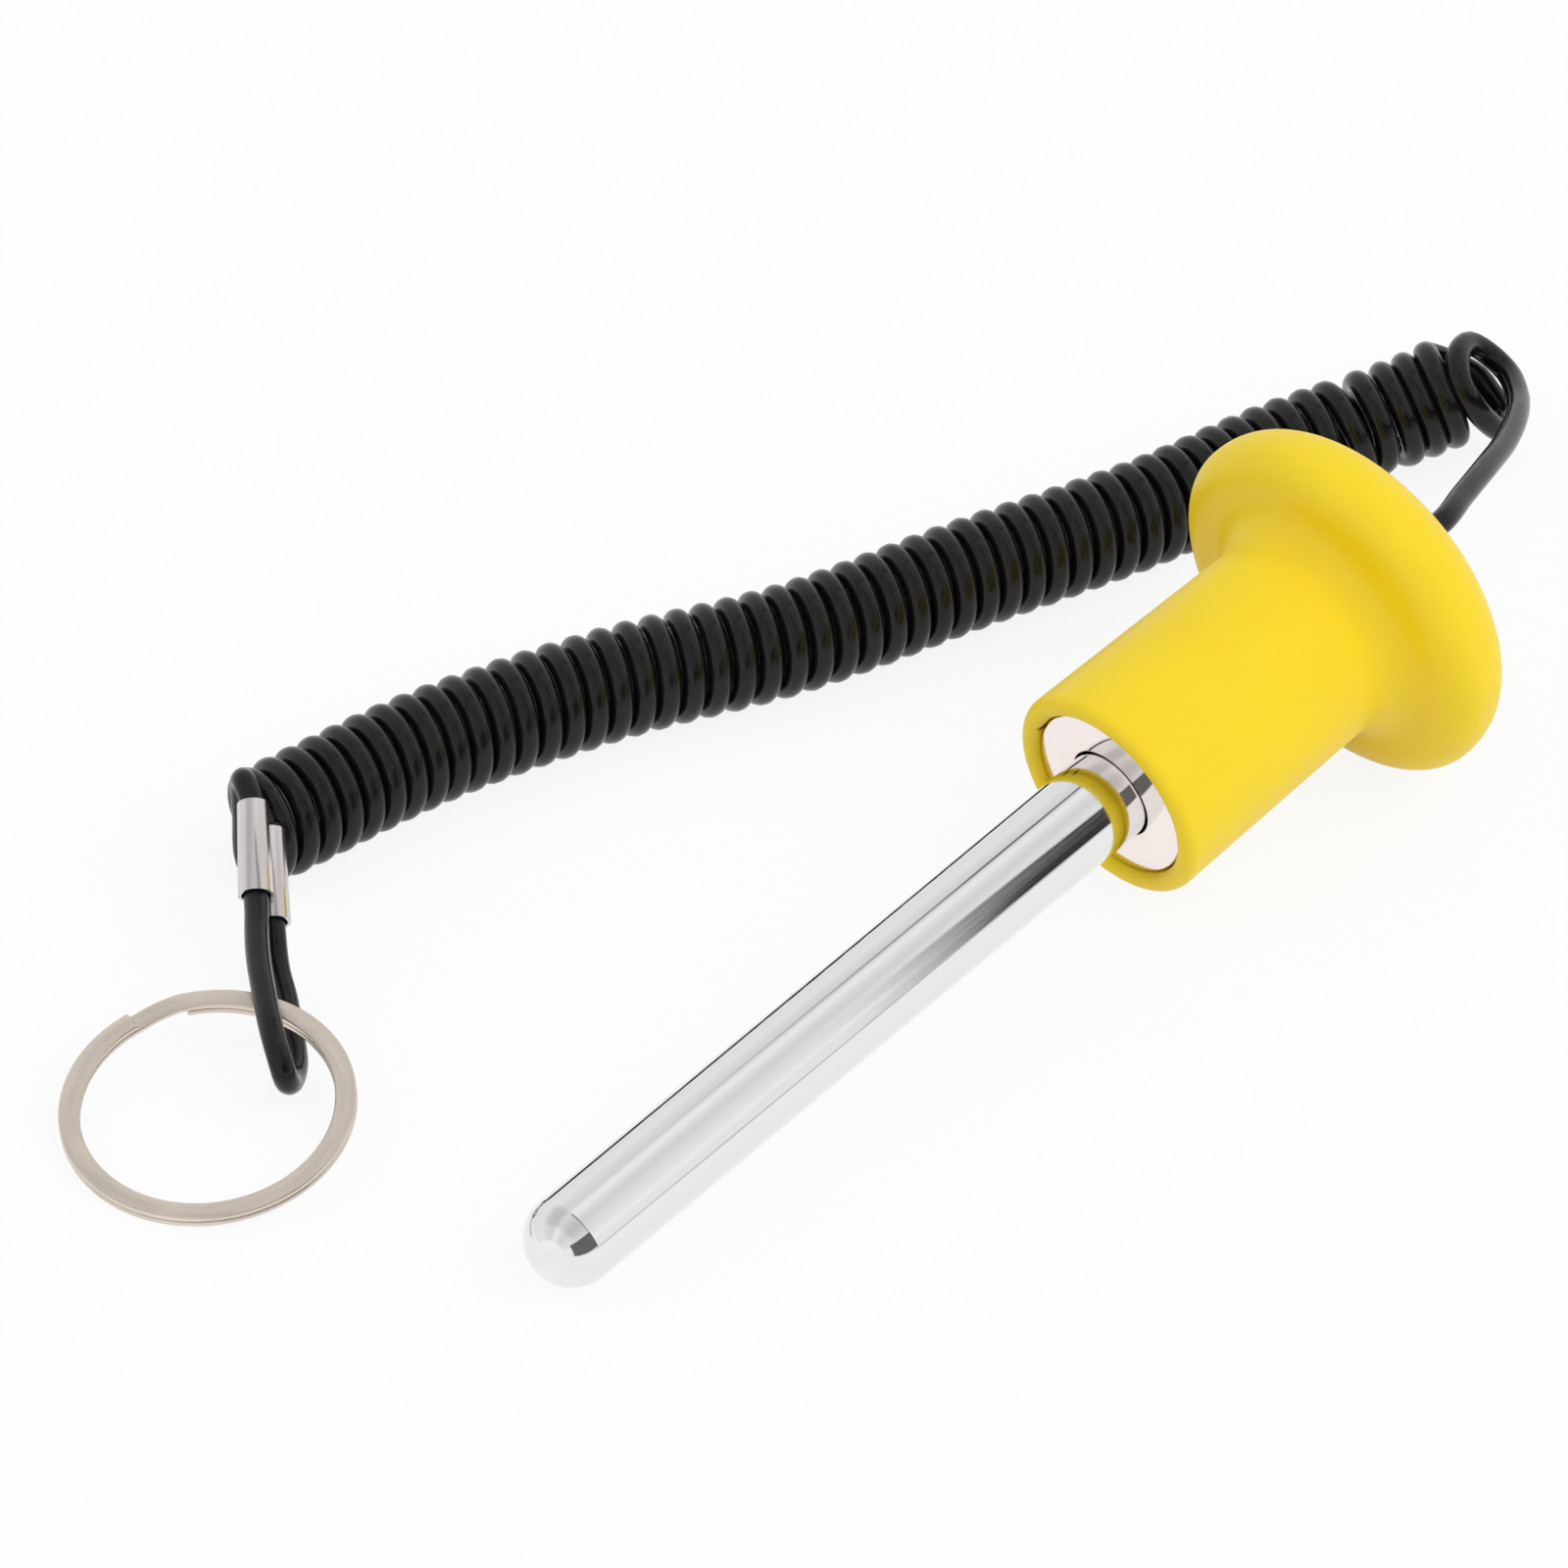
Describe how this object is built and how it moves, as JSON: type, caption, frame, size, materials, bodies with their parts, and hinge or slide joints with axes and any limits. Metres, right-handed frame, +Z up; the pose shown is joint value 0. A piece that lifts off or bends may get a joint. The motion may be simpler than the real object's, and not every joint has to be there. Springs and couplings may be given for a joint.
{
  "type": "weight stack pin",
  "caption": "Weight stack pin: chromed round pin with a domed nose, yellow mushroom grip with a ring magnet, and a black curly cord ending in a crimped loop and a split ring.",
  "frame": {"origin": "on the ground, below the middle of the box round the pin and its grip", "axes": "+Z up, +X from the pin's nose toward the grip's crown as seen from above. The pin's axis lies in the XZ plane and rises toward +X by the angle at which the nose and the flange's rim both touch the ground."},
  "size_m": [0.1913, 0.0931, 0.0405],
  "materials": {
    "yellow_plastic": "satin moulded plastic",
    "bright_nickel": "bright nickel plating",
    "chrome": "mirror chrome with fine lengthwise streaks",
    "aluminium": "satin, as extruded",
    "black_cord": "glossy extruded sheath",
    "brushed_nickel": "warm grey nickel plating"
  },
  "bodies": {
    "pin_and_cord": {"grip_knob": "yellow_plastic", "ring_magnet": "bright_nickel", "pin_shaft": "chrome", "cord_stop": "aluminium", "cord_lead": "black_cord", "cord_coil": "black_cord", "cord_loop": "black_cord", "crimp_sleeve": "aluminium"},
    "tether_ring": {"split_ring": "brushed_nickel"}
  },
  "joints": [
    {"name": "ring_swing", "type": "hinge", "parent": "pin_and_cord", "child": "tether_ring", "pos_m": [-0.05566, 0.04539, 0.00556], "axis": [-0.2351, 0.972, 0], "range_deg": [-150, 150]}
  ]
}
